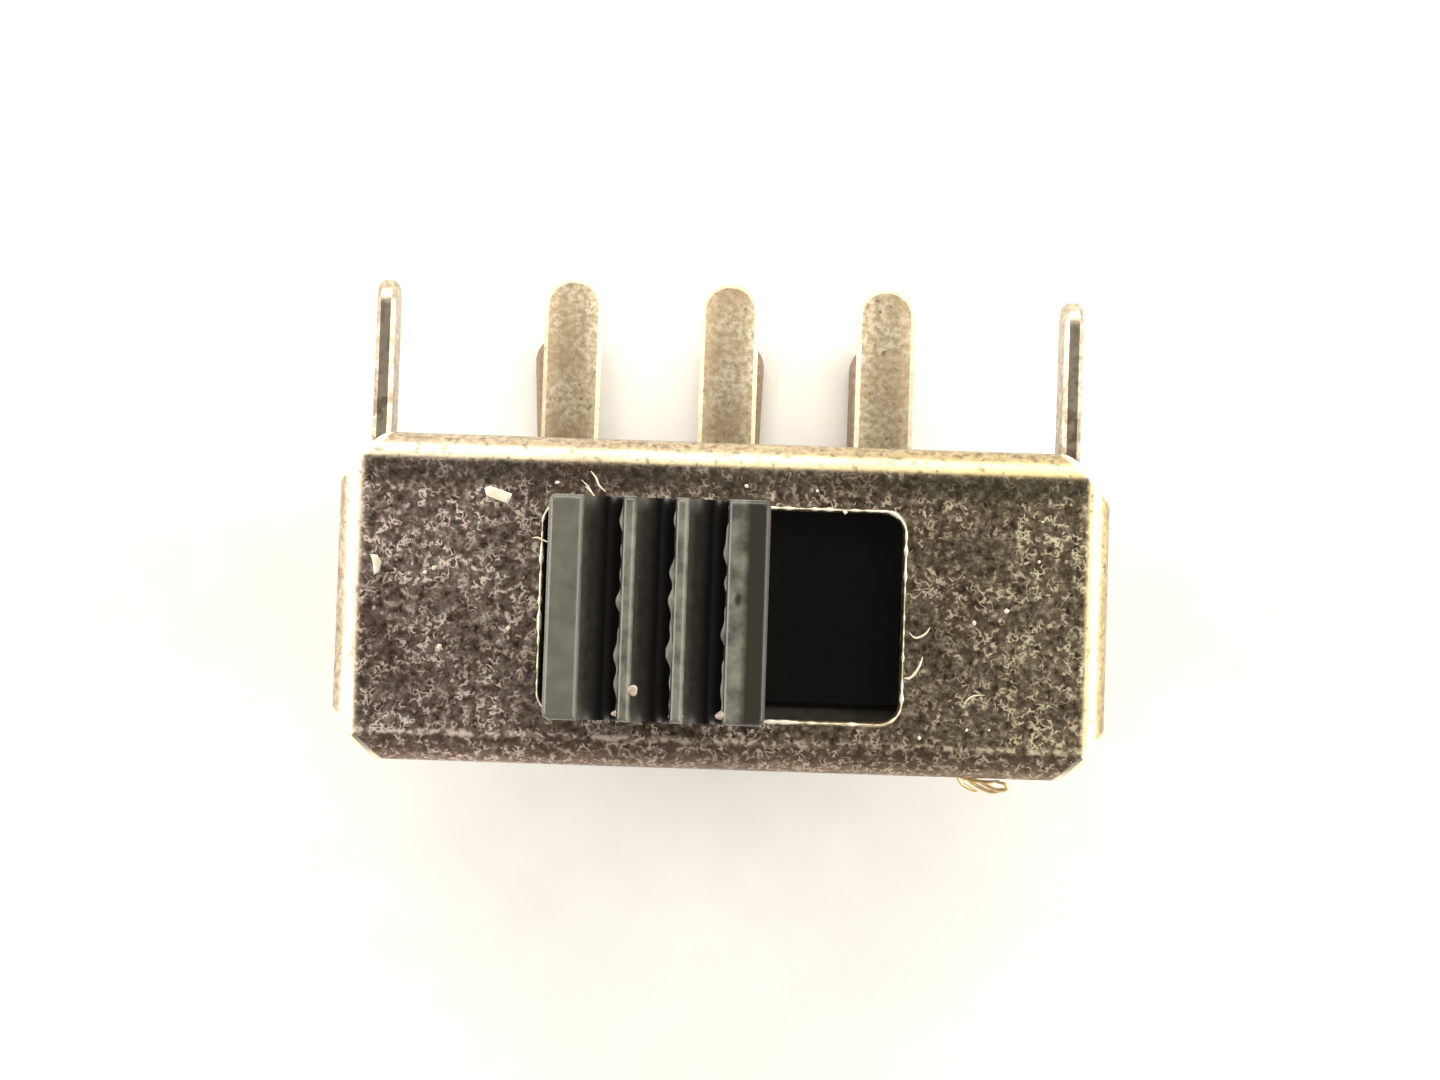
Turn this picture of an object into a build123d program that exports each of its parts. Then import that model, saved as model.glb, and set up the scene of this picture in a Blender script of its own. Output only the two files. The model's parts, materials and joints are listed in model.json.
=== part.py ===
"""Two-pole, two-position right-angle slide switch for a circuit board.

Frame: millimetres, +Z is the way the knob points, +Y the way the terminals point, +X along the
knob's travel. The origin is under the middle of the switch as it lies on its back, and z = 0 is
the underside of the rear row of terminals. The knob rests at the -X end of its travel.
"""
from build123d import *
import os

# Knob and its travel
travel = 2.0
knob_length = 3.40
knob_reach = 5.0
knob_draft = 0.04
knob_gap = 0.05
knob_edge = 0.12
groove_count = 3
groove_pitch = 0.79
groove_width = 0.58
groove_shift = -0.06
groove_depth = 0.50

# Folded sheet shell
sheet = 0.35
shell_height = 5.6
bend_radius = 0.55
seam_gap = 0.05
window_end_gap = 0.35
window_height = 3.55
window_radius = 0.35
window_drop = 0.12
punched_edge = 0.08
cut_rim = 0.05
leg_width = 1.0
leg_reach = 3.15
stamped_edge = 0.08
tab_length = 1.3
tab_reach = 0.85
tab_inset = 0.30

# Slider inside the shell
slider_gap = 0.05
side_gap = 0.10
plate_thickness = 0.90
plate_lap = 0.40
track_width = 0.25
track_depth = 0.15
track_chamfer = 0.05
carrier_wall = 0.46
carrier_side = 0.25
carrier_floor_gap = 0.30

# Base with its end posts
base_floor = 1.15
post_length = 0.70
stop_gap = 0.05
fit_gap = 0.05
base_corner = 0.30

# Terminals, in two rows
terminal_sheet = 0.35
terminal_width = 1.10
terminal_pitch = 3.0
terminal_reach = 3.40
rear_row_short = 0.80
row_pitch = 2.40
pole_pitch = 2.50
terminal_bend = 0.20
bend_stand_off = 0.05
blade_width = 1.60
blade_height = 2.00
blade_corner = 0.25

# Bridging contact clips
clip_sheet = 0.15
clip_overlap = 0.60
clip_spread = 0.12
clip_flare = 0.14
clip_lift = 0.10
clip_drop = 1.60
clip_lip = 0.40
clip_bend = 0.15
clip_slit = 0.30
contact_gap = 0.03
pocket_gap = 0.04
pocket_roof = 0.30
blade_slot_gap = 0.12

# Levels above the underside of the rear terminals
base_back = row_pitch + terminal_sheet + terminal_bend + bend_stand_off
floor_top = base_back + base_floor
blade_top = floor_top + blade_height
clip_top = blade_top + clip_lift + clip_sheet
plate_under = clip_top + pocket_roof
plate_top = plate_under + plate_thickness
front_inner = plate_top + slider_gap
front = front_inner + sheet
shell_depth = front - base_back
knob_top = front + knob_reach
carrier_under = floor_top + carrier_floor_gap

# Sizes that follow from the stack along the travel and across the shell
window_length = knob_length + travel + 2 * window_end_gap
plate_length = window_length + travel + 2 * plate_lap
post_inner = (plate_length + travel) / 2 + stop_gap
cavity_length = 2 * (post_inner + post_length + fit_gap)
shell_length = cavity_length + 2 * sheet
cavity_height = shell_height - 2 * sheet
plate_width = cavity_height - 2 * side_gap
clip_length = terminal_pitch + clip_overlap
carrier_length = clip_length + 2 * (pocket_gap + carrier_wall)
carrier_width = cavity_height - 2 * carrier_side
corner_cut = 2 * sheet + seam_gap
base_length = cavity_length - 2 * fit_gap
base_height = cavity_height - 2 * fit_gap
knob_width = window_height - 2 * knob_gap
touch_half = terminal_sheet / 2 + contact_gap + clip_sheet / 2
lip_half = touch_half + clip_flare
clip_half_width = touch_half + clip_spread
pocket_half = max(lip_half, clip_half_width) + clip_sheet / 2 + pocket_gap
wall_top = shell_height / 2

# Places in the plane of the front
body_y = -terminal_reach / 2
window_y = body_y - window_drop
slider_x = -travel / 2
pole_y = {"upper": body_y + pole_pitch / 2, "lower": body_y - pole_pitch / 2}
terminal_x = {"left": -terminal_pitch, "middle": 0.0, "right": terminal_pitch}

# Two rear pins lean sideways, in degrees about their stems
pin_lean = {"lower_left": 3.0, "lower_middle": -1.6}

os.makedirs("parts", exist_ok=True)


# Shell: one pressed and folded sheet, open at the back
with BuildPart() as shell:
    with BuildSketch(Plane.XY.offset(base_back)):
        with Locations((0, body_y)):
            Rectangle(shell_length, shell_height)
    extrude(amount=shell_depth)
    fillet(shell.faces().sort_by(Axis.Z)[-1].edges(), bend_radius)
    offset(amount=-sheet, openings=shell.faces().sort_by(Axis.Z)[0])

    # The window that the knob comes through
    with BuildSketch(Plane.XY.offset(front_inner)):
        with Locations((0, window_y)):
            RectangleRounded(window_length, window_height, window_radius)
    extrude(amount=sheet, mode=Mode.SUBTRACT)
    window_edges = shell.faces().sort_by(Axis.Z)[-1].inner_wires()[0].edges()
    fillet(window_edges, punched_edge)

    # Corners cut at 45 degrees, which part the four walls from each other
    with BuildSketch(Plane.XY.offset(base_back)):
        for x_side in (-1, 1):
            for y_side in (-1, 1):
                corner = (x_side * shell_length / 2, body_y + y_side * shell_height / 2)
                with Locations(corner):
                    Rectangle(corner_cut * 2**0.5, corner_cut * 2**0.5, rotation=45)
    extrude(amount=shell_depth, mode=Mode.SUBTRACT)

    # Tabs crimped under the base
    for x_side in (-1, 1):
        for y_side in (-1, 1):
            tab_x = x_side * (shell_length / 2 - corner_cut - tab_inset - tab_length / 2)
            tab_y = body_y + y_side * (wall_top - tab_reach / 2)
            with BuildSketch(Plane.XY.offset(base_back - sheet)):
                with Locations((tab_x, tab_y)):
                    Rectangle(tab_length, tab_reach)
            extrude(amount=sheet)
            with BuildSketch(Plane.XY.offset(base_back)):
                with Locations((tab_x, body_y + y_side * (wall_top - sheet / 2))):
                    Rectangle(tab_length, sheet)
            extrude(amount=sheet)
    tab_folds = (
        shell.edges()
        .filter_by(Axis.X)
        .filter_by_position(Axis.Z, base_back - sheet, base_back - sheet)
        .filter_by(lambda edge: abs(abs(edge.center().Y - body_y) - wall_top) < sheet / 2)
    )
    fillet(tab_folds, sheet * 0.9)

    # Mounting legs, which run on from the end walls
    for x_side in (-1, 1):
        leg_start = body_y
        leg_end = body_y + wall_top + leg_reach
        with BuildSketch(Plane.YZ.offset(x_side * (shell_length - sheet) / 2)):
            with Locations(((leg_start + leg_end) / 2, base_back + leg_width / 2)):
                SlotOverall(leg_end - leg_start, leg_width)
        extrude(amount=sheet / 2, both=True)
    leg_edges = shell.edges().filter_by(lambda edge: edge.center().Y > body_y + wall_top)
    chamfer(leg_edges, stamped_edge)

    # The rims of the cut corners are broken where they run over the front bends
    cut_faces = shell.faces().filter_by(
        lambda face: abs(abs(face.normal_at().X) - abs(face.normal_at().Y)) < 0.01
        and abs(face.normal_at().Z) < 0.01
        and abs(face.center().Y - body_y) < wall_top
    )
    cut_rims = cut_faces.edges().filter_by(
        lambda edge: edge.center().Z > front - bend_radius - sheet
    )
    chamfer(cut_rims, cut_rim)
shell.part.label = "shell"
export_step(shell.part, "parts/shell.step")


# Base: a moulded floor with slots for the terminals and a post at each end
with BuildPart() as base:
    with BuildSketch(Plane.XY.offset(base_back)):
        with Locations((0, body_y)):
            Rectangle(base_length, base_height)
    extrude(amount=base_floor)
    with BuildSketch(Plane.XY.offset(floor_top)):
        for x_side in (-1, 1):
            with Locations((x_side * (post_inner + post_length / 2), body_y)):
                Rectangle(post_length, base_height)
    extrude(amount=front_inner - floor_top)
    chamfer(base.edges().filter_by(Axis.Z).group_by(Axis.X)[0], base_corner)
    chamfer(base.edges().filter_by(Axis.Z).group_by(Axis.X)[-1], base_corner)
    chamfer(base.faces().sort_by(Axis.Z)[-1].edges(), bend_radius - sheet)
    chamfer(base.faces().sort_by(Axis.Z)[-2].edges(), bend_radius - sheet)
    with BuildSketch(Plane.XY.offset(base_back)):
        for y in pole_y.values():
            for x in terminal_x.values():
                with Locations((x, y)):
                    Rectangle(terminal_width, terminal_sheet)
    extrude(amount=base_floor, mode=Mode.SUBTRACT)
base.part.label = "base"
export_step(base.part, "parts/base.step")


# Slider: plate under the front, carrier for the clips, and the ribbed knob
with BuildPart() as slider:
    with BuildSketch(Plane.XY.offset(plate_under)):
        with Locations((slider_x, body_y)):
            Rectangle(plate_length, plate_width)
    extrude(amount=plate_thickness)

    # A shallow track along the plate shows at the window's lower edge
    with BuildSketch(Plane.XY.offset(plate_top)):
        with Locations((slider_x, window_y - window_height / 2 + track_width / 2)):
            Rectangle(plate_length, track_width)
    extrude(amount=-track_depth, mode=Mode.SUBTRACT)
    track_edge = slider.edges().filter_by(Axis.X).filter_by_position(
        Axis.Y, window_y - window_height / 2, window_y
    )
    chamfer(track_edge.sort_by(Axis.Z)[-1], track_chamfer)

    # The knob narrows a little to its end, as a moulding does
    with BuildSketch(Plane.XY.offset(plate_top)):
        with Locations((slider_x, window_y)):
            RectangleRounded(knob_length, knob_width, knob_edge)
    with BuildSketch(Plane.XY.offset(knob_top)):
        with Locations((slider_x, window_y)):
            RectangleRounded(knob_length - 2 * knob_draft, knob_width - 2 * knob_draft, knob_edge)
    loft()

    # Finger grooves across the knob's end, with round bottoms
    groove_height = 2 * groove_depth
    with BuildSketch(Plane.XZ.offset(-window_y)):
        with Locations((slider_x + groove_shift, knob_top)):
            with GridLocations(groove_pitch, 0, groove_count, 1):
                SlotOverall(groove_height, groove_width, rotation=90)
    extrude(amount=knob_width, both=True, mode=Mode.SUBTRACT)
    knob_rim = slider.edges().group_by(Axis.Z)[-1]
    fillet(knob_rim, knob_edge * 0.75)

    with BuildSketch(Plane.XY.offset(carrier_under)):
        with Locations((slider_x, body_y)):
            Rectangle(carrier_length, carrier_width)
    extrude(amount=plate_under - carrier_under)

    # A pocket for each clip, and a slot in line with it for the blades to pass
    with BuildSketch(Plane.XY.offset(carrier_under)):
        for y in pole_y.values():
            with Locations((slider_x, y)):
                Rectangle(clip_length + 2 * pocket_gap, 2 * pocket_half)
    extrude(amount=clip_top - carrier_under, mode=Mode.SUBTRACT)
    with BuildSketch(Plane.XY.offset(carrier_under)):
        for y in pole_y.values():
            with Locations((slider_x, y)):
                Rectangle(carrier_length, terminal_sheet + 2 * blade_slot_gap)
    extrude(amount=blade_top + clip_lift - carrier_under, mode=Mode.SUBTRACT)
slider.part.label = "slider"
export_step(slider.part, "parts/slider.step")


# Contact clips: bent strips whose two leaves grip a row of blades
for pole, y in pole_y.items():
    web_level = clip_top - clip_sheet / 2
    touch_level = web_level - clip_drop + clip_lip
    with BuildPart() as clip:
        with BuildSketch(Plane.YZ.offset(slider_x)):
            with BuildLine():
                FilletPolyline(
                    (y - lip_half, web_level - clip_drop),
                    (y - touch_half, touch_level),
                    (y - clip_half_width, web_level),
                    (y + clip_half_width, web_level),
                    (y + touch_half, touch_level),
                    (y + lip_half, web_level - clip_drop),
                    radius=clip_bend,
                )
            trace(line_width=clip_sheet)
        extrude(amount=clip_length / 2, both=True)
        # A slit parts each leaf into two fingers
        with BuildSketch(Plane.XZ.offset(-y)):
            with Locations((slider_x, web_level - clip_drop)):
                Rectangle(clip_slit, 2 * (clip_drop - clip_lip))
        extrude(amount=2 * clip_half_width, both=True, mode=Mode.SUBTRACT)
    clip.part.label = "clip_" + pole
    export_step(clip.part, "parts/clip_" + pole + ".step")


# Terminals: a blade inside, a stem through the base and a pin bent towards +Y
for pole, y in pole_y.items():
    rear = pole == "lower"
    pin_level = terminal_sheet / 2 if rear else terminal_sheet / 2 + row_pitch
    pin_end = body_y + wall_top + terminal_reach - (rear_row_short if rear else 0)
    for place, x in terminal_x.items():
        name = pole + "_" + place
        bend_plane = Plane(Location((x, y, 0), (0, 0, pin_lean.get(name, 0))) * Location(Plane.YZ))
        with BuildPart() as terminal:
            with BuildSketch(bend_plane):
                with BuildLine():
                    FilletPolyline(
                        (0, base_back),
                        (0, pin_level),
                        (pin_end - y, pin_level),
                        radius=terminal_bend + terminal_sheet / 2,
                    )
                trace(line_width=terminal_sheet)
            extrude(amount=terminal_width / 2, both=True)
            tip_corners = terminal.edges().filter_by(Axis.Z).sort_by(Axis.Y)[-2:]
            fillet(tip_corners, terminal_width * 0.49)
            pin_edges = terminal.edges().filter_by(
                lambda edge: edge.center().Z < base_back - stamped_edge
            )
            chamfer(pin_edges, stamped_edge)
            with BuildSketch(Plane.XY.offset(base_back)):
                with Locations((x, y)):
                    Rectangle(terminal_width, terminal_sheet)
            extrude(amount=base_floor)
            with BuildSketch(Plane.XZ.offset(-y)):
                with Locations((x, floor_top + blade_height / 2)):
                    Rectangle(blade_width, blade_height)
            extrude(amount=terminal_sheet / 2, both=True)
            blade_corners = terminal.edges().filter_by(Axis.Y).group_by(Axis.Z)[-1]
            fillet(blade_corners, blade_corner)
        terminal.part.label = "terminal_" + name
        export_step(terminal.part, "parts/" + terminal.part.label + ".step")
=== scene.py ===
"""Looks of a small right-angle slide switch, seen from straight above its front.

The frame is in metres: +Z is the way the knob points, +Y the way the terminals point.
Sizes here are in millimetres, and MM turns them to metres.
"""
import json
import math

import bpy
import numpy as np
from mathutils import Matrix, Vector


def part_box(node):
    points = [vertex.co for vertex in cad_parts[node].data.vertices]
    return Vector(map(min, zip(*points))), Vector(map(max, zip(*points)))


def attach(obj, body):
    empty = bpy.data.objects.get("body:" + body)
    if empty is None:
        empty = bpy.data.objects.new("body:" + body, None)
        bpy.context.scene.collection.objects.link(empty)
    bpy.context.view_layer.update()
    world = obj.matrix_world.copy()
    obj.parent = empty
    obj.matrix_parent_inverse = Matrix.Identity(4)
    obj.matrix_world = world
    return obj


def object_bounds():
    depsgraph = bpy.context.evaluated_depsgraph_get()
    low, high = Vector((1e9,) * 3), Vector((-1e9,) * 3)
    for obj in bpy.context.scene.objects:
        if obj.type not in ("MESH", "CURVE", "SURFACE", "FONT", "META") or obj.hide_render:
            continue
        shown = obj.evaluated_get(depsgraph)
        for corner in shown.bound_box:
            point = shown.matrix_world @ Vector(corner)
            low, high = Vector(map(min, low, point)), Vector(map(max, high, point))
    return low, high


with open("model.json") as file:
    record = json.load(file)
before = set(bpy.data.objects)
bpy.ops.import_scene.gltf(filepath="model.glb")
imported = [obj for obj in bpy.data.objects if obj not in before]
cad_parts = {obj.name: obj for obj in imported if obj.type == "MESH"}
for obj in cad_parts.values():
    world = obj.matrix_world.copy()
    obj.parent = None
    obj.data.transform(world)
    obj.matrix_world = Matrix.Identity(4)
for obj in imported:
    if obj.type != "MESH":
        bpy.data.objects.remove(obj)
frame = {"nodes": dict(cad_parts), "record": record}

MM = 0.001
cad_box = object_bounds()
shell_low, shell_high = [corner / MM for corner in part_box("shell")]
base_low, base_high = [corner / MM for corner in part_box("base")]
knob_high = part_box("slider")[1] / MM

# The camera stands where the photograph was taken from, and its lens brings the switch closer.
# Its roll is in degrees
SENSOR = 36.0
LENS = 61.0
CAMERA_PLACE = (-0.213, -1.944, 49.322)
CAMERA_AIM = (-0.046, -0.323, 0.0)
CAMERA_ROLL = 1.904
NEAREST = 1
FARTHEST = 2000

# Real sizes of the surface patterns
PLATE_GRAIN = 0.06
FLECK_CURL = 0.055
FLECK_BREAK = 0.075
CLOUD = 0.50
TARNISH = 1.9
PIT = 0.07
LEG_STAIN = 0.13
MOULD_GRAIN = 0.07
KNOB_WAVE = 0.17
CARD_FIBRE = 0.6

# Depths of the fine relief
PLATE_RELIEF = 0.012
SHEET_WAVE = 0.015
SILVER_RELIEF = 0.004
MOULD_RELIEF = 0.006

# The shell. A fold starts where the flat front ends, and a cut corner is where |x| and |y|,
# from the shell's middle, add up to CUT_LINE
FRONT = float(shell_high.z)
LOWER_WALL = float(shell_low.y)
UPPER_WALL = float(base_low.y + base_high.y - shell_low.y)
WALL_MIDDLE = (LOWER_WALL + UPPER_WALL) / 2
FOLD = 0.55
LOWER_FOLD = LOWER_WALL + FOLD
UPPER_FOLD = UPPER_WALL - FOLD
CORNER_CUT = 0.75
CUT_LINE = float(shell_high.x) + UPPER_WALL - WALL_MIDDLE - CORNER_CUT

# Where the shell's looks change, as distances from the places above
HIGHLIGHT_STARTS = (-0.14, -0.04)
FLECK_ROW = (-0.07, 0.21)
ROW_SWAY = 0.22
DARK_STRIP = (-0.45, -0.15)
RIM_STARTS = (-0.18, -0.12)
RIM_REACH = 1.4 * FOLD
LEG_STARTS = 0.02
ROOT_SHADE_REACH = 2.4
TINT_HALF = 5

# The pins: their pitch, how far from the wall and from the middle of each their painted shade
# and highlight change, and the heights between which the rear row's painted brown shade fades
# out
PIN_PITCH = 3.0
PIN_RUN = 3.2
PIN_FLAT = 0.15
PIN_SIDE = 0.50
REAR_ROW = (0.4, 1.0)

# The window, and the slider's step along its lower edge
WINDOW_MIDDLE = (0.0, -1.82)
WINDOW_HALF = (3.05, 1.775)
WINDOW_CORNER = 0.35
STEP_EDGE = -3.38
STEP_FADE = 0.04

# The knob. RIDGE_EDGE is the left edge of its second ridge
KNOB_TOP = float(knob_high.z)
LIGHT_FADE = 1.5
RIDGE_EDGE = -1.56
RIDGE_PITCH = 0.79
RIDGE_WIDTH = 0.21
RIDGE_ENDS = (-3.44, -0.22)
FIRST_FADE = 0.06
CREST_SWAY = 0.05
CREST_REACH = 0.36
CREST_FADE = (0.02, 0.12)
NICK = (0.21, -1.63)
NICK_RADII = (0.05, 0.14)
NICK_SQUEEZE = 1.9

# A Mix node's inputs by index, because those for numbers and for colours share their names
NUMBER_A, NUMBER_B = 2, 3
COLOUR_A, COLOUR_B = 6, 7


def linear(colour):
    """Turns an sRGB hex colour such as "#a0b0c0" to linear red, green, blue and alpha."""
    value = np.array([int(colour[i:i + 2], 16) for i in (1, 3, 5)]) / 255
    flat = np.where(value <= 0.04045, value / 12.92, ((value + 0.055) / 1.055) ** 2.4)
    return (*flat.tolist(), 1.0)


def noise_scale(size):
    """Gives the noise scale that makes light and dark patches size millimetres across.

    One cell of the noise holds a light patch and a dark one.
    """
    return 1 / (2 * size * MM)


def feed(tree, node, inputs):
    """Fills inputs of a node. Each takes a value, links a socket, or links a node by the first
    of its outputs that is in use."""
    for name, given in inputs.items():
        if isinstance(given, bpy.types.Node):
            given = next(output for output in given.outputs if output.enabled)
        if isinstance(given, bpy.types.NodeSocket):
            tree.links.new(given, node.inputs[name])
        else:
            node.inputs[name].default_value = given


def add(tree, kind, inputs=None, stops=(), **settings):
    """Adds one node and feeds its inputs. A stop is a ramp's place and hex colour, and any
    other setting is a property of the node."""
    node = tree.nodes.new(kind)
    for name, value in settings.items():
        setattr(node, name, value)
    feed(tree, node, inputs or {})
    for index, (position, colour) in enumerate(stops):
        if index >= len(node.color_ramp.elements):
            node.color_ramp.elements.new(position)
        node.color_ramp.elements[index].position = position
        node.color_ramp.elements[index].color = linear(colour)
    return node


def new_material(name, **shader_values):
    """Gives a material, its tree, its surface shader and its Object coordinates."""
    material = bpy.data.materials.new(name)
    material.use_nodes = True
    tree = material.node_tree
    tree.nodes.clear()
    shader = add(tree, "ShaderNodeBsdfPrincipled", shader_values)
    add(tree, "ShaderNodeOutputMaterial", {"Surface": shader})
    place = add(tree, "ShaderNodeTexCoord").outputs["Object"]
    return material, tree, shader, place


def coat(tree, shader, colour, roughness, grain, depth, strength):
    """Links a finish's colour and roughness to its shader, and roughens it by its grain."""
    relief = add(tree, "ShaderNodeBump", {"Height": grain, "Distance": depth * MM, "Strength": strength})
    feed(tree, shader, {"Base Color": colour, "Roughness": roughness, "Normal": relief})


def mottled(name, size, detail, stops, **shader_values):
    """A material whose colour wanders between the stops, in patches size millimetres across."""
    material, tree, shader, place = new_material(name, **shader_values)
    patches = add(
        tree, "ShaderNodeTexNoise", {"Vector": place, "Scale": noise_scale(size), "Detail": detail}
    )
    shade = add(tree, "ShaderNodeValToRGB", {"Fac": patches}, stops)
    feed(tree, shader, {"Base Color": shade})
    return material


def fleck_row(tree, axes, noise):
    """A broken, lumpy row of tin flecks that sways along the start of the lower fold."""
    swaying = add(
        tree,
        "ShaderNodeMath",
        {0: noise["breaks"], 1: ROW_SWAY * MM, 2: axes.outputs["Y"]},
        operation="MULTIPLY_ADD",
    )
    height = add(
        tree,
        "ShaderNodeMapRange",
        {
            "Value": swaying,
            "From Min": (LOWER_FOLD + FLECK_ROW[0]) * MM,
            "From Max": (LOWER_FOLD + FLECK_ROW[1]) * MM,
        },
    )
    row = add(
        tree,
        "ShaderNodeValToRGB",
        {"Fac": height},
        [(0.20, "#000000"), (0.45, "#ffffff"), (0.60, "#ffffff"), (0.80, "#000000")],
    )
    gapped = add(
        tree,
        "ShaderNodeMapRange",
        {"Value": noise["breaks"], "From Min": 0.36, "From Max": 0.50},
        interpolation_type="SMOOTHSTEP",
    )
    lumpy = add(
        tree,
        "ShaderNodeMapRange",
        {"Value": noise["curls"], "From Min": 0.40, "From Max": 0.52, "To Min": 0.35},
        interpolation_type="SMOOTHSTEP",
    )
    gaps = add(tree, "ShaderNodeMath", {0: row, 1: gapped}, operation="MULTIPLY")
    return add(tree, "ShaderNodeMath", {0: gaps, 1: lumpy}, operation="MULTIPLY")


def tin_flecks(tree, axes, noise, under, strip):
    """Short curled flecks of tin, from 0 to 1.

    They are thin bands where one noise crosses its middle, cut short by a second noise. They
    are fewer in clouds, apart from the lower fold, and in the strip along the upper fold.
    """
    bands = add(
        tree,
        "ShaderNodeValToRGB",
        {"Fac": noise["curls"]},
        [(0.42, "#000000"), (0.49, "#ffffff"), (0.53, "#ffffff"), (0.60, "#000000")],
    )
    pieces = add(
        tree,
        "ShaderNodeMapRange",
        {"Value": noise["breaks"], "From Min": 0.42, "From Max": 0.58},
        interpolation_type="SMOOTHSTEP",
    )
    short = add(tree, "ShaderNodeMath", {0: bands, 1: pieces}, operation="MULTIPLY")
    clouded = add(
        tree,
        "ShaderNodeMapRange",
        {"Value": noise["clouds"], "From Min": 0.38, "From Max": 0.54, "To Min": 0.25},
        interpolation_type="SMOOTHSTEP",
    )
    clear = add(tree, "ShaderNodeMath", {0: clouded, 1: under}, operation="MAXIMUM")
    thinned = add(tree, "ShaderNodeMath", {0: short, 1: clear}, operation="MULTIPLY")
    spread = add(tree, "ShaderNodeMath", {0: thinned, 1: strip}, operation="MULTIPLY")
    row = fleck_row(tree, axes, noise)
    return add(tree, "ShaderNodeMath", {0: spread, 1: row}, operation="MAXIMUM")


def plating_colour(tree, noise, flecks, strip, sideways):
    """The plating away from the painted highlight and rub: light flecks over a finely grained
    grey-brown.

    The strip along the upper fold is darker, as painted shade. The left end is a little purple
    and the right end a little green. Patches of two sizes are a little darker or lighter than
    the rest.
    """
    ground = add(
        tree,
        "ShaderNodeValToRGB",
        {"Fac": noise["grain"]},
        [(0.33, "#5c5048"), (0.48, "#97887c"), (0.60, "#b9ac9f"), (0.69, "#f4e8d8")],
    )
    shaded = add(
        tree,
        "ShaderNodeMix",
        {"Factor": strip, COLOUR_A: linear("#555348"), COLOUR_B: ground},
        data_type="RGBA",
    )
    flecked = add(
        tree,
        "ShaderNodeMix",
        {"Factor": flecks, COLOUR_A: shaded, COLOUR_B: linear("#e8dccf")},
        data_type="RGBA",
    )
    tint = add(tree, "ShaderNodeValToRGB", {"Fac": sideways}, [(0.0, "#fff8fb"), (1.0, "#f1f0dc")])
    tinted = add(
        tree,
        "ShaderNodeMix",
        {"Factor": 1.0, COLOUR_A: flecked, COLOUR_B: tint},
        data_type="RGBA",
        blend_type="MULTIPLY",
    )
    small_patches, large_patches = [
        add(
            tree,
            "ShaderNodeMapRange",
            {"Value": noise[name], "From Min": 0.35, "From Max": 0.65, "To Min": low, "To Max": high},
        )
        for name, low, high in (("clouds", 0.84, 1.16), ("tarnish", 1.18, 0.82))
    ]
    patchy = add(tree, "ShaderNodeMath", {0: small_patches, 1: large_patches}, operation="MULTIPLY")
    return add(tree, "ShaderNodeVectorMath", {0: tinted, "Scale": patchy}, operation="SCALE")


def highlit_folds(tree, facing, noise, above):
    """Gives where the sheet leans, and where a fold carries a painted highlight, both from 0 to 1.

    It leans where it turns from the front towards the walls. A fold carries the painted
    highlight there, apart from small pits and the lower fold.
    """
    uneven = add(
        tree,
        "ShaderNodeMath",
        {0: noise["pits"], 1: -0.03, 2: facing.outputs["Z"]},
        operation="MULTIPLY_ADD",
    )
    leaning = add(
        tree,
        "ShaderNodeValToRGB",
        {"Fac": uneven},
        [(0.08, "#000000"), (0.32, "#ffffff"), (0.955, "#ffffff"), (0.975, "#000000")],
    )
    pitted = add(
        tree,
        "ShaderNodeMapRange",
        {"Value": noise["pits"], "From Min": 0.56, "From Max": 0.68, "To Min": 0.90, "To Max": 0.30},
        interpolation_type="SMOOTHSTEP",
    )
    even = add(tree, "ShaderNodeMath", {0: leaning, 1: pitted}, operation="MULTIPLY")
    fold_highlight = add(tree, "ShaderNodeMath", {0: even, 1: above}, operation="MULTIPLY")
    return leaning, fold_highlight


def cut_corners(tree, axes, facing):
    """Gives the cut corners' painted highlight, from 0 to 1: on their rims near the front, and on all
    that is sheared.

    A sheared face runs slantwise, so the X and Y of its normal are both large. A rim is where
    the distances from the shell's middle along X and Y add up to nearly the cut's.
    """
    slant = add(
        tree, "ShaderNodeMath", {0: facing.outputs["X"], 1: facing.outputs["Y"]}, operation="MULTIPLY"
    )
    slope = add(tree, "ShaderNodeMath", {0: slant}, operation="ABSOLUTE")
    slanting = add(
        tree, "ShaderNodeMapRange", {"Value": slope, "From Min": 0.10, "From Max": 0.25, "To Max": 0.7}
    )
    across = add(tree, "ShaderNodeMath", {0: axes.outputs["X"]}, operation="ABSOLUTE")
    off_middle = add(
        tree, "ShaderNodeMath", {0: axes.outputs["Y"], 1: WALL_MIDDLE * MM}, operation="SUBTRACT"
    )
    up_down = add(tree, "ShaderNodeMath", {0: off_middle}, operation="ABSOLUTE")
    outwards = add(tree, "ShaderNodeMath", {0: across, 1: up_down}, operation="ADD")
    at_rim = add(
        tree,
        "ShaderNodeMapRange",
        {
            "Value": outwards,
            "From Min": (CUT_LINE + RIM_STARTS[0]) * MM,
            "From Max": (CUT_LINE + RIM_STARTS[1]) * MM,
        },
    )
    near_front = add(
        tree,
        "ShaderNodeMapRange",
        {
            "Value": axes.outputs["Z"],
            "From Min": (FRONT - RIM_REACH) * MM,
            "From Max": (FRONT - FOLD) * MM,
        },
    )
    rim_highlight = add(tree, "ShaderNodeMath", {0: at_rim, 1: near_front}, operation="MULTIPLY")
    sheared_highlight = add(tree, "ShaderNodeMath", {0: slanting, 1: rim_highlight}, operation="MAXIMUM")
    return rim_highlight, sheared_highlight


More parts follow.
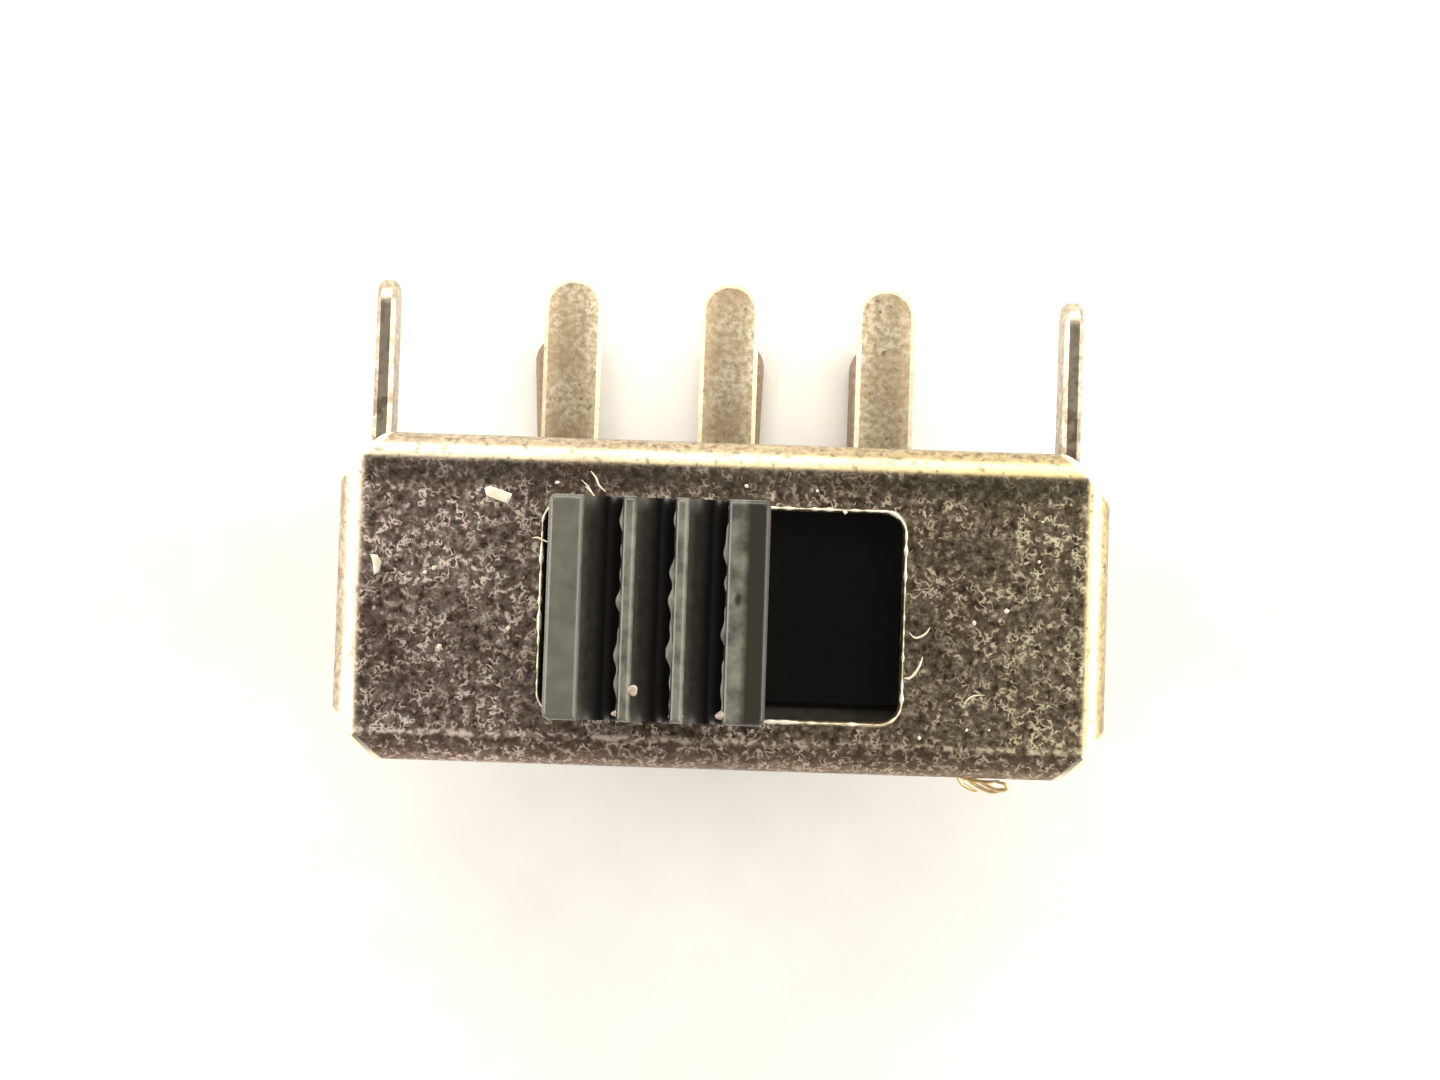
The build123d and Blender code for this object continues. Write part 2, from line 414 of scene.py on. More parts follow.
def highlight_and_rub_colour(tree, facing, noise, sideways, past_wall):
    """The colour of the folds' painted highlight and of rubbed tin: cream, yellower to the right,
    and paler on the legs.

    It is worn to brown in specks, most of all where it faces away from the front, as painted
    shade.
    """
    # Painted shade where the fold faces away from the front
    facing_away_shade = add(
        tree,
        "ShaderNodeMapRange",
        {"Value": facing.outputs["Z"], "From Min": 0.85, "From Max": 0.60, "To Min": 0.3},
    )
    speckled = add(
        tree,
        "ShaderNodeMapRange",
        {"Value": noise["grain"], "From Min": 0.40, "From Max": 0.58, "To Min": 0.9, "To Max": 0.2},
    )
    wear_and_painted_light = add(tree, "ShaderNodeMath", {0: facing_away_shade, 1: speckled}, operation="MULTIPLY")
    shine = add(tree, "ShaderNodeValToRGB", {"Fac": sideways}, [(0.0, "#ddd1b8"), (1.0, "#d6c594")])
    paled = add(
        tree,
        "ShaderNodeMix",
        {"Factor": past_wall, COLOUR_A: shine, COLOUR_B: linear("#ebe1cc")},
        data_type="RGBA",
    )
    return add(
        tree,
        "ShaderNodeMix",
        {"Factor": wear_and_painted_light, COLOUR_A: paled, COLOUR_B: linear("#a88f72")},
        data_type="RGBA",
    )


def tarnish_and_painted_shade(tree, axes, noise, under, past_wall, bright):
    """How brown the sheet is, from 0 to 0.75, as tarnish and painted shade.

    It comes in broad tarnish patches, as a painted dark reflection over the lower fold, and in
    blotches on the legs that grow darker towards their roots as painted shade. What is bright
    stays nearly clear of it.
    """
    stain = add(
        tree,
        "ShaderNodeMapRange",
        {"Value": noise["tarnish"], "From Min": 0.50, "From Max": 0.72, "To Max": 0.40},
        interpolation_type="SMOOTHSTEP",
    )
    # A painted dark reflection over the lower fold
    low = add(tree, "ShaderNodeMapRange", {"Value": under, "To Max": 0.64})
    blotched = add(
        tree,
        "ShaderNodeMapRange",
        {"Value": noise["blotches"], "From Min": 0.44, "From Max": 0.58, "To Max": 0.75},
        interpolation_type="SMOOTHSTEP",
    )
    # Painted shade on the legs, growing towards their roots by the wall
    root_shade = add(
        tree,
        "ShaderNodeMapRange",
        {
            "Value": axes.outputs["Y"],
            "From Min": (UPPER_WALL + ROOT_SHADE_REACH) * MM,
            "From Max": UPPER_WALL * MM,
            "To Min": 0.35,
        },
    )
    legs = add(tree, "ShaderNodeMath", {0: root_shade, 1: past_wall}, operation="MULTIPLY")
    leg_blotches = add(tree, "ShaderNodeMath", {0: legs, 1: blotched}, operation="MULTIPLY")
    patches = add(tree, "ShaderNodeMath", {0: stain, 1: leg_blotches}, operation="MAXIMUM")
    brown = add(tree, "ShaderNodeMath", {0: patches, 1: low}, operation="MAXIMUM")
    bare = add(tree, "ShaderNodeMapRange", {"Value": bright, "To Min": 1.0, "To Max": 0.20})
    return add(tree, "ShaderNodeMath", {0: brown, 1: bare}, operation="MULTIPLY")


def tinned_steel():
    """Pressed steel sheet with dull tin plating.

    Tin goes on as fine crystals, so the flat front shows short curled flecks, light over
    grey-brown. The folds carry a pale painted highlight and are smoother, with small dark
    pits, apart from the lower one. Brown tarnish lies in broad patches; the lower fold is
    browned by a painted dark reflection, and the legs by blotches with painted shade towards
    their roots. The cut corners carry a painted highlight on their sheared faces and rims.
    """
    material, tree, shader, place = new_material("tinned_steel", Metallic=1.0)
    axes = add(tree, "ShaderNodeSeparateXYZ", {"Vector": place})
    facing = add(tree, "ShaderNodeSeparateXYZ", {"Vector": place.node.outputs["Normal"]})
    noise = {
        name: add(tree, "ShaderNodeTexNoise", {"Vector": place, "Scale": noise_scale(size), **wander})
        for name, size, wander in (
            ("grain", PLATE_GRAIN, {"Detail": 3.0, "Roughness": 0.62}),
            ("curls", FLECK_CURL, {"Detail": 1.5, "Distortion": 0.4}),
            ("breaks", FLECK_BREAK, {"Detail": 1.0}),
            ("clouds", CLOUD, {"Detail": 4.0, "Roughness": 0.62}),
            ("tarnish", TARNISH, {"Detail": 3.0, "Roughness": 0.55}),
            ("pits", PIT, {"Detail": 1.0}),
            ("blotches", LEG_STAIN, {"Detail": 3.0}),
        )
    }

    # The parts of the sheet that look different, each from 0 to 1
    above = add(
        tree,
        "ShaderNodeMapRange",
        {
            "Value": axes.outputs["Y"],
            "From Min": (LOWER_FOLD + HIGHLIGHT_STARTS[0]) * MM,
            "From Max": (LOWER_FOLD + HIGHLIGHT_STARTS[1]) * MM,
        },
        interpolation_type="SMOOTHSTEP",
    )
    under = add(tree, "ShaderNodeMath", {0: 1.0, 1: above}, operation="SUBTRACT")
    # A painted shade in a strip along the upper fold: darker there, and with fewer flecks
    strip = add(
        tree,
        "ShaderNodeMapRange",
        {
            "Value": axes.outputs["Y"],
            "From Min": (UPPER_FOLD + DARK_STRIP[0]) * MM,
            "From Max": (UPPER_FOLD + DARK_STRIP[1]) * MM,
            "To Min": 1.0,
            "To Max": 0.45,
        },
        interpolation_type="SMOOTHSTEP",
    )
    sideways = add(
        tree,
        "ShaderNodeMapRange",
        {"Value": axes.outputs["X"], "From Min": -TINT_HALF * MM, "From Max": TINT_HALF * MM},
    )
    past_wall = add(
        tree,
        "ShaderNodeMath",
        {0: axes.outputs["Y"], 1: (UPPER_WALL + LEG_STARTS) * MM},
        operation="GREATER_THAN",
    )
    flecks = tin_flecks(tree, axes, noise, under, strip)
    leaning, fold_highlight = highlit_folds(tree, facing, noise, above)
    rim_highlight, sheared_highlight = cut_corners(tree, axes, facing)
    handled = add(tree, "ShaderNodeMath", {0: past_wall, 1: 0.92}, operation="MULTIPLY")
    # Painted highlight on the folds and cut corners, with the legs' paler tin
    edges = add(tree, "ShaderNodeMath", {0: fold_highlight, 1: sheared_highlight}, operation="MAXIMUM")
    rub_and_highlight = add(tree, "ShaderNodeMath", {0: edges, 1: handled}, operation="MAXIMUM")
    bright = add(tree, "ShaderNodeMath", {0: flecks, 1: sheared_highlight}, operation="MAXIMUM")
    tarnish_and_shade = tarnish_and_painted_shade(tree, axes, noise, under, past_wall, bright)

    rubbed_and_highlit = add(
        tree,
        "ShaderNodeMix",
        {
            "Factor": rub_and_highlight,
            COLOUR_A: plating_colour(tree, noise, flecks, strip, sideways),
            COLOUR_B: highlight_and_rub_colour(tree, facing, noise, sideways, past_wall),
        },
        data_type="RGBA",
    )
    # A painted highlight on the cut corners' rims
    rim_highlighted = add(
        tree,
        "ShaderNodeMix",
        {"Factor": rim_highlight, COLOUR_A: rubbed_and_highlit, COLOUR_B: linear("#fff3dc")},
        data_type="RGBA",
    )
    # Brown tarnish, with painted shade over the lower fold and the legs' roots
    colour = add(
        tree,
        "ShaderNodeMix",
        {"Factor": tarnish_and_shade, COLOUR_A: rim_highlighted, COLOUR_B: linear("#6f5547")},
        data_type="RGBA",
    )

    matt = add(tree, "ShaderNodeMapRange", {"Value": flecks, "To Min": 0.40, "To Max": 0.58})
    polished = add(
        tree, "ShaderNodeMix", {"Factor": rub_and_highlight, NUMBER_A: matt, NUMBER_B: 0.36}, data_type="FLOAT"
    )
    relief = add(tree, "ShaderNodeMapRange", {"Value": leaning, "To Min": 0.6, "To Max": 0.12})
    rough = add(
        tree,
        "ShaderNodeBump",
        {"Height": noise["grain"], "Distance": PLATE_RELIEF * MM, "Strength": relief},
    )
    waved = add(
        tree,
        "ShaderNodeBump",
        {"Height": noise["clouds"], "Distance": SHEET_WAVE * MM, "Strength": 0.3, "Normal": rough},
    )
    feed(tree, shader, {"Base Color": colour, "Roughness": polished, "Normal": waved})
    return material


def pin_shading(tree, axes):
    """Painted light on a pin: painted shade towards its root by the wall, lighter towards its
    tip, and a painted highlight towards its sides.
    """
    lengthwise = add(
        tree,
        "ShaderNodeMapRange",
        {
            "Value": axes.outputs["Y"],
            "From Min": UPPER_WALL * MM,
            "From Max": (UPPER_WALL + PIN_RUN) * MM,
            "To Min": 0.76,
            "To Max": 1.32,
        },
    )
    own_place = add(
        tree,
        "ShaderNodeMath",
        {0: axes.outputs["X"], 1: PIN_PITCH / 2 * MM, 2: -PIN_PITCH / 2 * MM},
        operation="WRAP",
    )
    off_centre = add(tree, "ShaderNodeMath", {0: own_place}, operation="ABSOLUTE")
    crosswise = add(
        tree,
        "ShaderNodeMapRange",
        {
            "Value": off_centre,
            "From Min": PIN_FLAT * MM,
            "From Max": PIN_SIDE * MM,
            "To Min": 0.92,
            "To Max": 1.40,
        },
        interpolation_type="SMOOTHSTEP",
    )
    return add(tree, "ShaderNodeMath", {0: lengthwise, 1: crosswise}, operation="MULTIPLY")


def rear_row_shade(tree, axes, facing):
    """How much painted shade browns the rear row of pins, most of all on its edges and sides."""
    behind = add(
        tree,
        "ShaderNodeMapRange",
        {
            "Value": axes.outputs["Z"],
            "From Min": REAR_ROW[0] * MM,
            "From Max": REAR_ROW[1] * MM,
            "To Min": 0.5,
            "To Max": 0.0,
        },
    )
    flatness = add(tree, "ShaderNodeMath", {0: facing.outputs["Z"]}, operation="ABSOLUTE")
    sides = add(
        tree,
        "ShaderNodeMapRange",
        {"Value": flatness, "From Min": 0.98, "From Max": 0.85, "To Min": 1.0, "To Max": 1.6},
    )
    return add(tree, "ShaderNodeMath", {0: behind, 1: sides}, operation="MULTIPLY")


def tinned_brass():
    """Stamped brass strip under thin tin plating.

    Brass shows through as khaki, flux and oxide keep it half matt, and small pits are dark.
    The broken edges carry a painted highlight, and the rear row is browned by painted shade.
    """
    material, tree, shader, place = new_material("tinned_brass", Metallic=0.55)
    axes = add(tree, "ShaderNodeSeparateXYZ", {"Vector": place})
    facing = add(tree, "ShaderNodeSeparateXYZ", {"Vector": place.node.outputs["Normal"]})
    grain, clouds, pits = [
        add(tree, "ShaderNodeTexNoise", {"Vector": place, "Scale": noise_scale(size), **wander})
        for size, wander in (
            (PLATE_GRAIN, {"Detail": 3.0, "Roughness": 0.6}),
            (CLOUD, {"Detail": 3.0, "Roughness": 0.6}),
            (PIT, {"Detail": 2.0}),
        )
    ]
    plating = add(
        tree,
        "ShaderNodeValToRGB",
        {"Fac": grain},
        [(0.36, "#a89a7d"), (0.48, "#bcad91"), (0.60, "#d3c8b2")],
    )
    brassy = add(
        tree,
        "ShaderNodeMapRange",
        {"Value": clouds, "From Min": 0.42, "From Max": 0.64, "To Max": 0.5},
        interpolation_type="SMOOTHSTEP",
    )
    clouded = add(
        tree,
        "ShaderNodeMix",
        {"Factor": brassy, COLOUR_A: plating, COLOUR_B: linear("#bda380")},
        data_type="RGBA",
    )
    pitted = add(
        tree,
        "ShaderNodeMapRange",
        {"Value": pits, "From Min": 0.63, "From Max": 0.74, "To Max": 0.7},
        interpolation_type="SMOOTHSTEP",
    )
    speckled = add(
        tree,
        "ShaderNodeMix",
        {"Factor": pitted, COLOUR_A: clouded, COLOUR_B: linear("#665338")},
        data_type="RGBA",
    )
    shaded = add(
        tree, "ShaderNodeVectorMath", {0: speckled, "Scale": pin_shading(tree, axes)}, operation="SCALE"
    )
    # A painted highlight along the pins' broken edges
    edge_highlight = add(
        tree,
        "ShaderNodeValToRGB",
        {"Fac": facing.outputs["Z"]},
        [(0.35, "#000000"), (0.60, "#b0b0b0"), (0.80, "#b0b0b0"), (0.97, "#000000")],
    )
    edge_lit = add(
        tree,
        "ShaderNodeMix",
        {"Factor": edge_highlight, COLOUR_A: shaded, COLOUR_B: linear("#f0e6cf")},
        data_type="RGBA",
    )
    # The rear row browned by painted shade
    colour = add(
        tree,
        "ShaderNodeMix",
        {"Factor": rear_row_shade(tree, axes, facing), COLOUR_A: edge_lit, COLOUR_B: linear("#634b38")},
        data_type="RGBA",
    )
    matt = add(
        tree,
        "ShaderNodeMapRange",
        {"Value": clouds, "From Min": 0.3, "From Max": 0.7, "To Min": 0.52, "To Max": 0.38},
    )
    coat(tree, shader, colour, matt, grain, PLATE_RELIEF, 0.3)
    return material


def silvered_bronze():
    """Rolled phosphor bronze spring strip, silver plated: bright, with fine rolling grain."""
    material, tree, shader, place = new_material("silvered_bronze", Metallic=1.0)
    grain = add(
        tree,
        "ShaderNodeTexNoise",
        {"Vector": place, "Scale": noise_scale(PLATE_GRAIN), "Detail": 3.0, "Roughness": 0.6},
    )
    silver = add(tree, "ShaderNodeValToRGB", {"Fac": grain}, [(0.3, "#cfc6b4"), (0.7, "#efe9dc")])
    satin = add(
        tree,
        "ShaderNodeMapRange",
        {"Value": grain, "From Min": 0.3, "From Max": 0.7, "To Min": 0.22, "To Max": 0.34},
    )
    coat(tree, shader, silver, satin, grain, SILVER_RELIEF, 0.4)
    return material


def nylon_painted_light(tree, axes, facing):
    """Painted light on the nylon, from 0 to 1.

    It lies as a grey painted light on the side of each groove that faces the window, and inside
    the shell only as a painted highlight on the slider's step along the window's lower edge.
    """
    outside = add(
        tree,
        "ShaderNodeMapRange",
        {"Value": axes.outputs["Z"], "From Min": FRONT * MM, "From Max": (FRONT + LIGHT_FADE) * MM},
        interpolation_type="SMOOTHSTEP",
    )
    lit_side = add(
        tree, "ShaderNodeMapRange", {"Value": facing.outputs["X"], "From Min": -0.15, "From Max": 0.9}
    )
    grooves = add(tree, "ShaderNodeMath", {0: outside, 1: lit_side}, operation="MULTIPLY")
    step = add(
        tree,
        "ShaderNodeMapRange",
        {
            "Value": axes.outputs["Y"],
            "From Min": STEP_EDGE * MM,
            "From Max": (STEP_EDGE - STEP_FADE) * MM,
            "To Max": 0.6,
        },
    )
    inside = add(tree, "ShaderNodeMath", {0: axes.outputs["Z"], 1: FRONT * MM}, operation="LESS_THAN")
    step_highlight = add(tree, "ShaderNodeMath", {0: step, 1: inside}, operation="MULTIPLY")
    return add(tree, "ShaderNodeMath", {0: grooves, 1: step_highlight}, operation="MAXIMUM")


def ridge_colour(tree, axes, waves):
    """The knob's ridges, rubbed pale and carrying a painted highlight: the first one all over, the
    others along a wavy crest.
    """
    swayed = add(
        tree,
        "ShaderNodeMath",
        {0: waves, 1: -CREST_SWAY * MM, 2: axes.outputs["X"]},
        operation="MULTIPLY_ADD",
    )
    wrapped = add(
        tree,
        "ShaderNodeMath",
        {0: swayed, 1: (RIDGE_EDGE + RIDGE_PITCH) * MM, 2: RIDGE_EDGE * MM},
        operation="WRAP",
    )
    across = add(
        tree,
        "ShaderNodeMapRange",
        {
            "Value": wrapped,
            "From Min": RIDGE_EDGE * MM,
            "From Max": (RIDGE_EDGE + RIDGE_PITCH) * MM,
        },
    )
    # The pale band along each crest is rub and painted highlight together
    crest = add(
        tree,
        "ShaderNodeValToRGB",
        {"Fac": across},
        [(0.0, "#909090"), (0.05, "#ffffff"), (0.27, "#ffffff"), (0.40, "#000000")],
    )
    first = add(
        tree,
        "ShaderNodeMapRange",
        {
            "Value": axes.outputs["X"],
            "From Min": (RIDGE_EDGE - RIDGE_PITCH + RIDGE_WIDTH + FIRST_FADE) * MM,
            "From Max": (RIDGE_EDGE - RIDGE_PITCH + RIDGE_WIDTH) * MM,
        },
    )
    pale = add(tree, "ShaderNodeMath", {0: crest, 1: first}, operation="MAXIMUM")
    rubbed_and_highlit = add(tree, "ShaderNodeValToRGB", {"Fac": waves}, [(0.34, "#4b4a44"), (0.64, "#7a796f")])
    flat = add(tree, "ShaderNodeMath", {0: first, 1: 0.75}, operation="MULTIPLY")
    evened = add(
        tree,
        "ShaderNodeMix",
        {"Factor": flat, COLOUR_A: rubbed_and_highlit, COLOUR_B: linear("#605f58")},
        data_type="RGBA",
    )
    return add(
        tree,
        "ShaderNodeMix",
        {"Factor": pale, COLOUR_A: linear("#302d26"), COLOUR_B: evened},
        data_type="RGBA",
    )


def ridge_nick(tree, place):
    """One small nick in the last ridge, from 0 to 0.8, narrower along X than along Y."""
    narrow = (NICK_SQUEEZE, 1.0, 1.0)
    squeezed = add(tree, "ShaderNodeVectorMath", {0: place, 1: narrow}, operation="MULTIPLY")
    away = add(
        tree,
        "ShaderNodeVectorMath",
        {0: squeezed, 1: (NICK_SQUEEZE * NICK[0] * MM, NICK[1] * MM, KNOB_TOP * MM)},
        operation="DISTANCE",
    )
    return add(
        tree,
        "ShaderNodeMapRange",
        {
            "Value": away,
            "From Min": NICK_RADII[1] * MM,
            "From Max": NICK_RADII[0] * MM,
            "To Max": 0.8,
        },
        interpolation_type="SMOOTHSTEP",
    )


def moulded_nylon():
    """Black moulded nylon.

    Inside the shell it is smooth and deep black. On the knob it is satin, with a fine mould
    grain, greyed by painted light on one side of each groove. The ridges are rubbed pale and
    carry a painted highlight, which reaches down from their crests by a depth that waves along
    them.
    """
    material, tree, shader, place = new_material("moulded_nylon", IOR=1.53)
    axes = add(tree, "ShaderNodeSeparateXYZ", {"Vector": place})
    facing = add(tree, "ShaderNodeSeparateXYZ", {"Vector": place.node.outputs["Normal"]})
    grain, waves = [
        add(
            tree,
            "ShaderNodeTexNoise",
            {"Vector": place, "Scale": noise_scale(size), "Detail": detail, "Roughness": 0.6},
        )
        for size, detail in ((MOULD_GRAIN, 3.0), (KNOB_WAVE, 2.0))
    ]
    deep, lit_grey = [
        add(tree, "ShaderNodeValToRGB", {"Fac": grain}, [(0.3, dark), (0.7, light)])
        for dark, light in (("#060606", "#0b0b0a"), ("#3f3b33", "#57524a"))
    ]
    painted_light = nylon_painted_light(tree, axes, facing)
    # Grey painted light on one side of each groove and on the slider's step; deep black elsewhere
    black = add(
        tree, "ShaderNodeMix", {"Factor": painted_light, COLOUR_A: deep, COLOUR_B: lit_grey}, data_type="RGBA"
    )
    depth = add(
        tree,
        "ShaderNodeMath",
        {0: waves, 1: CREST_REACH * MM, 2: axes.outputs["Z"]},
        operation="MULTIPLY_ADD",
    )
    # Down to a waving depth from the top, the ridges take their colour of rub and painted highlight
    reached = add(
        tree,
        "ShaderNodeMapRange",
        {
            "Value": depth,
            "From Min": (KNOB_TOP + CREST_FADE[0]) * MM,
            "From Max": (KNOB_TOP + CREST_FADE[1]) * MM,
        },
        interpolation_type="SMOOTHSTEP",
    )
    wear_and_painted_light = add(
        tree,
        "ShaderNodeMix",
        {"Factor": reached, COLOUR_A: black, COLOUR_B: ridge_colour(tree, axes, waves)},
        data_type="RGBA",
    )
    colour = add(
        tree,
        "ShaderNodeMix",
        {"Factor": ridge_nick(tree, place), COLOUR_A: wear_and_painted_light, COLOUR_B: linear("#1c1611")},
        data_type="RGBA",
    )
    satin = add(
        tree,
        "ShaderNodeMapRange",
        {"Value": waves, "From Min": 0.3, "From Max": 0.7, "To Min": 0.42, "To Max": 0.58},
    )
    sheen = add(
        tree, "ShaderNodeMix", {"Factor": painted_light, NUMBER_A: 0.22, NUMBER_B: satin}, data_type="FLOAT"
    )
    coat(tree, shader, colour, sheen, grain, MOULD_RELIEF, 0.5)
    return material


def moulded_phenolic():
    """Dark phenolic moulding of the base: nearly matt and brown-black, with mineral fill."""
    material, tree, shader, place = new_material("moulded_phenolic", IOR=1.6)
    grain, fill = [
        add(
            tree,
            "ShaderNodeTexNoise",
            {"Vector": place, "Scale": noise_scale(size), "Detail": detail, "Roughness": roughness},
        )
        for size, detail, roughness in ((MOULD_GRAIN, 3.0, 0.6), (CLOUD, 4.0, 0.7))
    ]
    resin = add(tree, "ShaderNodeValToRGB", {"Fac": fill}, [(0.35, "#241a12"), (0.70, "#3c2c1e")])
    matt = add(
        tree,
        "ShaderNodeMapRange",
        {"Value": grain, "From Min": 0.3, "From Max": 0.7, "To Min": 0.50, "To Max": 0.68},
    )
    coat(tree, shader, resin, matt, grain, MOULD_RELIEF, 0.5)
    return material


def bright_tin():
    """Fresh tin where the plating has lifted or been scraped, and the window burr's painted
    highlight: pale cream and nearly matt.
    """
    cream = [(0.3, "#efe5c6"), (0.7, "#fffbe8")]
    return mottled("bright_tin", PLATE_GRAIN, 2.0, cream, Metallic=0.3, Roughness=0.45)


def brass_swarf():
    """A shaving of bare brass: golden, drawn thin, with a smooth cut face."""
    golden = [(0.3, "#d9b06a"), (0.7, "#ffe6b0")]
    return mottled("brass_swarf", PLATE_GRAIN, 2.0, golden, Metallic=0.7, Roughness=0.35)


def smeared_highlit_nylon():
    """Black nylon that rubbing has smeared and paled, with a painted highlight: grey-green and waxy."""
    grey = [(0.34, "#454540"), (0.62, "#75756c")]
    return mottled("smeared_highlit_nylon", KNOB_WAVE, 3.0, grey, Roughness=0.5, IOR=1.53)


def nib_highlight_nylon():
    """Pale, pinkish and waxy nylon: a painted highlight on the ridge nibs."""
    pinkish = [(0.3, "#948478"), (0.7, "#d0c0b0")]
    return mottled("nib_highlight_nylon", MOULD_GRAIN, 2.0, pinkish, Roughness=0.4, IOR=1.53)


def floor_card():
    """Matt white card under the switch, with faint fibres."""
    white = [(0.3, "#f4f3f0"), (0.7, "#f8f7f5")]
    return mottled("floor_card", CARD_FIBRE, 3.0, white, Roughness=0.9)


def link_mesh(name, points, faces, material, smooth=True):
    """Puts points in millimetres and their faces into a mesh at the origin."""
    mesh = bpy.data.meshes.new(name)
    mesh.from_pydata((np.asarray(points) * MM).tolist(), [], [list(face) for face in faces])
    mesh.polygons.foreach_set("use_smooth", np.full(len(mesh.polygons), smooth))
    mesh.materials.append(material)
    mesh.update()
    piece = bpy.data.objects.new(name, mesh)
    bpy.context.scene.collection.objects.link(piece)
    return piece


def ring_faces(rings, around, closed=False):
    """Quads that join each ring of points to the next, going round.

    A closed shape joins its last ring to its first, and any other has a cap at each end.
    """
    ring, step = np.meshgrid(np.arange(rings if closed else rings - 1), np.arange(around), indexing="ij")
    after = (step + 1) % around
    following = (ring + 1) % rings
    quads = np.stack(
        (
            ring * around + step,
            ring * around + after,
            following * around + after,
            following * around + step,
        ),
        axis=-1,
    ).reshape(-1, 4)
    if closed:
        return quads.tolist()
    first = np.arange(around)[::-1]
    last = np.arange(around) + (rings - 1) * around
    return [*quads.tolist(), first.tolist(), last.tolist()]


def shaken(rings, counts, seed):
    """The sum, at each ring, of sine waves of each count over one lap, with seeded phases."""
    phases = np.random.default_rng(seed).uniform(0, 2 * np.pi, len(counts))
    lap = np.linspace(0, 2 * np.pi, rings, endpoint=False)
    return np.sin(np.array(counts) * lap[:, None] + phases).sum(axis=1)


def whisker(through, radius, flatness=1.0, rings=28, around=8):
    """A thin strand through a few points.

    Its centre is the Catmull-Rom curve of the points. Each ring is an ellipse across the
    curve, radius wide and radius times flatness high, and it shrinks with the root of the
    sine of the way along, so both ends come nearly to a point. A radius can be given for
    each ring.
    """
    through = np.asarray(through, float)
    padded = np.vstack((2 * through[0] - through[1], through, 2 * through[-1] - through[-2]))
    t = np.linspace(0, len(through) - 1, rings)
    span = np.minimum(t.astype(int), len(through) - 2)
    u = (t - span)[:, None]
    a, b, c, d = (padded[span + i] for i in range(4))
    centre = 0.5 * (2 * b + (c - a) * u + (2 * a - 5 * b + 4 * c - d) * u**2)
    centre += 0.5 * (3 * b - a - 3 * c + d) * u**3
    along = np.gradient(centre, axis=0)
    along /= np.linalg.norm(along, axis=1, keepdims=True)
    side = np.cross(np.array([0.0, 0.0, 1.0]), along)
    side /= np.linalg.norm(side, axis=1, keepdims=True)
    up = np.cross(along, side)
    tip = 0.02
    size = (radius * np.sqrt(np.sin(np.linspace(tip, np.pi - tip, rings))))[:, None, None]
    angle = np.linspace(0, 2 * np.pi, around, endpoint=False)[None, :, None]
    points = centre[:, None] + size * (
        np.cos(angle) * side[:, None] + flatness * np.sin(angle) * up[:, None]
    )
    return points.reshape(-1, 3), ring_faces(rings, around)


def flake(corners, thickness):
    """A flake of plating that has lifted and lies on the front.

    Its outline joins its corners, given anticlockwise, with straight edges. Three such
    outlines go up from just under the front: full, full, and drawn in by a fifth at the top.
    """
    sunk = 0.004
    corners = np.asarray(corners, float)
    middle = corners.mean(axis=0)
    rings = [
        np.column_stack((middle + (corners - middle) * scale, np.full(len(corners), level)))
        for scale, level in (
            (1.0, FRONT - sunk),
            (1.0, FRONT + 0.6 * thickness),
            (0.8, FRONT + thickness),
        )
    ]
    return np.concatenate(rings), ring_faces(3, len(corners))


def speck(x, y, size, seed, corners=5):
    """A small flake of no special shape: corners at even turns about (x, y), with seeded reach."""
    thickness = 0.010
    turn = np.linspace(0, 2 * np.pi, corners, endpoint=False) + seed
    reach = np.random.default_rng(seed).uniform(0.3, 0.6, corners) * size
    outline = np.stack((x + reach * np.cos(turn), y + reach * np.sin(turn)), axis=1)
    return flake(outline, thickness)


def rim_strand(middle, half, corner, radius, seed, rings=480, around=8):
    """A closed strand that runs round a rounded rectangle in the plane of the front.

    Its path is four quarter circles joined by straight runs, walked at an even pace. Its
    radius is shaken by sine waves of rising count, with seeded phases, and kept between a
    quarter and about twice the stated one.
    """
    quarter = np.linspace(0, np.pi / 2, 12)
    outline = np.concatenate(
        [
            np.stack(
                (
                    middle[0] + sx * (half[0] - corner) + corner * np.cos(quarter + start),
                    middle[1] + sy * (half[1] - corner) + corner * np.sin(quarter + start),
                ),
                axis=1,
            )
            for sx, sy, start in (
                (1, 1, 0), (-1, 1, np.pi / 2), (-1, -1, np.pi), (1, -1, 1.5 * np.pi)
            )
        ]
    )
    outline = np.vstack((outline, outline[:1]))
    gone = np.concatenate(([0], np.cumsum(np.linalg.norm(np.diff(outline, axis=0), axis=1))))
    pace = np.linspace(0, gone[-1], rings, endpoint=False)
    path = np.stack([np.interp(pace, gone, outline[:, axis]) for axis in (0, 1)], axis=1)
    along = np.roll(path, -1, axis=0) - np.roll(path, 1, axis=0)
    along /= np.linalg.norm(along, axis=1, keepdims=True)
    outward = np.stack((along[:, 1], -along[:, 0]), axis=1)
    shake = shaken(rings, [3, 7, 17, 31, 53, 83], seed)
    size = radius * np.clip(0.75 + 0.36 * shake, 0.25, 1.9)[:, None, None]
    angle = np.linspace(0, 2 * np.pi, around, endpoint=False)[None, :, None]
    flat = np.column_stack((outward, np.zeros(rings)))[:, None]
    up = np.array([0.0, 0.0, 1.0])
    centre = np.column_stack((path, np.full(rings, FRONT)))[:, None]
    points = centre + size * (np.cos(angle) * flat + np.sin(angle) * up)
    return points.reshape(-1, 3), ring_faces(rings, around, closed=True)


